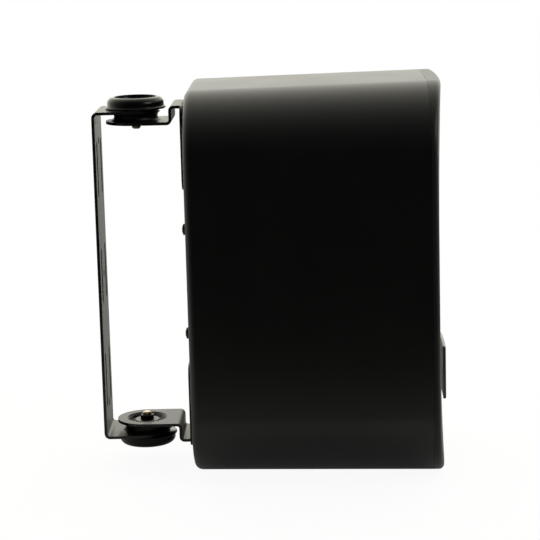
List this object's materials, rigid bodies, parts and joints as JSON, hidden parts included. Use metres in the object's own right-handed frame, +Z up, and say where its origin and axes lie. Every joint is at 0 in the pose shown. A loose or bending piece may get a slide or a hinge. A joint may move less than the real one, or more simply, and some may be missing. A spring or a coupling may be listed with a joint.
{
  "type": "wall speaker",
  "caption": "Compact on-wall speaker: drafted rounded cabinet with a bowed perforated grille, panning on a folded steel wall yoke with clamping knobs and recessed cable terminals.",
  "frame": {"origin": "centre of the wall face of the yoke, which is the middle of its hole pattern", "axes": "+Z up, +Y into the wall, the speaker looks along -Y"},
  "size_m": [0.176, 0.2367, 0.2634],
  "materials": {
    "powder_steel": "satin black powder coat on folded steel",
    "gloss_knob": "smooth black moulding",
    "plated_steel": "yellowish zinc plate",
    "black_steel": "black finish",
    "spacer_plastic": "black",
    "washer_steel": "pale plated steel",
    "cabinet_plastic": "satin black",
    "grille_steel": "satin black perforated sheet",
    "badge": "dark grey",
    "terminal_brass": "plated",
    "red_cap": "red",
    "black_cap": "black",
    "basket_steel": "black",
    "ferrite": "dull grey",
    "surround_rubber": "matt",
    "cone": "matt black",
    "spider_cloth": "resin treated cloth",
    "winding": "enamelled copper",
    "tweeter_plastic": "black",
    "dome_cloth": "coated cloth",
    "board": "green",
    "capacitor": "yellow film",
    "wire": "red and black",
    "wadding": "soft white"
  },
  "bodies": {
    "yoke": {"wall_yoke": "powder_steel"},
    "speaker": {"upper_spacer": "spacer_plastic", "lower_spacer": "spacer_plastic", "upper_washer": "washer_steel", "lower_washer": "washer_steel", "upper_nut": "black_steel", "lower_nut": "black_steel", "upper_cabinet_bracket": "powder_steel", "lower_cabinet_bracket": "powder_steel", "bracket_screws": "black_steel", "cabinet_shell": "cabinet_plastic", "front_baffle": "cabinet_plastic", "baffle_screws": "black_steel", "grille": "grille_steel", "grille_badge": "badge", "terminal_panel": "cabinet_plastic", "terminal_panel_screws": "black_steel", "positive_post": "terminal_brass", "negative_post": "terminal_brass", "terminal_nuts": "terminal_brass", "woofer_basket": "basket_steel", "woofer_top_plate": "basket_steel", "woofer_magnet": "ferrite", "woofer_pole_plate": "basket_steel", "woofer_screws": "black_steel", "woofer_surround": "surround_rubber", "woofer_spider": "spider_cloth", "tweeter_faceplate": "tweeter_plastic", "tweeter_dome": "dome_cloth", "tweeter_magnet": "ferrite", "tweeter_screws": "black_steel", "left_port_tube": "cabinet_plastic", "right_port_tube": "cabinet_plastic", "crossover_board": "board", "crossover_coils": "winding", "crossover_capacitors": "capacitor", "board_screws": "plated_steel", "input_wires": "wire", "woofer_wires": "wire", "tweeter_wires": "wire", "damping_pad": "wadding"},
    "upper_clamp": {"upper_knob": "gloss_knob", "upper_pivot_bolt": "plated_steel"},
    "lower_clamp": {"lower_knob": "gloss_knob", "lower_pivot_bolt": "plated_steel"},
    "positive_terminal_cap": {"positive_cap": "red_cap"},
    "negative_terminal_cap": {"negative_cap": "black_cap"},
    "woofer_diaphragm": {"woofer_cone": "cone", "woofer_dust_cap": "cone", "voice_coil": "winding"}
  },
  "joints": [
    {"name": "pan", "type": "hinge", "parent": "yoke", "child": "speaker", "pos_m": [0, -0.02825, 0], "axis": [0, 0, 1], "range_deg": [-35, 35]},
    {"name": "upper_knob_turn", "type": "hinge", "parent": "yoke", "child": "upper_clamp", "pos_m": [0, -0.02825, 0.1134], "axis": [0, 0, 1], "range_deg": [0, 360]},
    {"name": "lower_knob_turn", "type": "hinge", "parent": "yoke", "child": "lower_clamp", "pos_m": [0, -0.02825, -0.1134], "axis": [0, 0, -1], "range_deg": [0, 360]},
    {"name": "positive_cap_turn", "type": "hinge", "parent": "speaker", "child": "positive_terminal_cap", "pos_m": [-0.013, -0.0735, 0], "axis": [0, 1, 0], "range_deg": [0, 360]},
    {"name": "negative_cap_turn", "type": "hinge", "parent": "speaker", "child": "negative_terminal_cap", "pos_m": [0.013, -0.0735, 0], "axis": [0, 1, 0], "range_deg": [0, 360]},
    {"name": "woofer_stroke", "type": "slide", "parent": "speaker", "child": "woofer_diaphragm", "axis": [0, -1, 0], "range_m": [-0.003, 0.003], "stiffness_N_per_m": 1200, "deforming": ["woofer_surround", "woofer_spider"]}
  ]
}
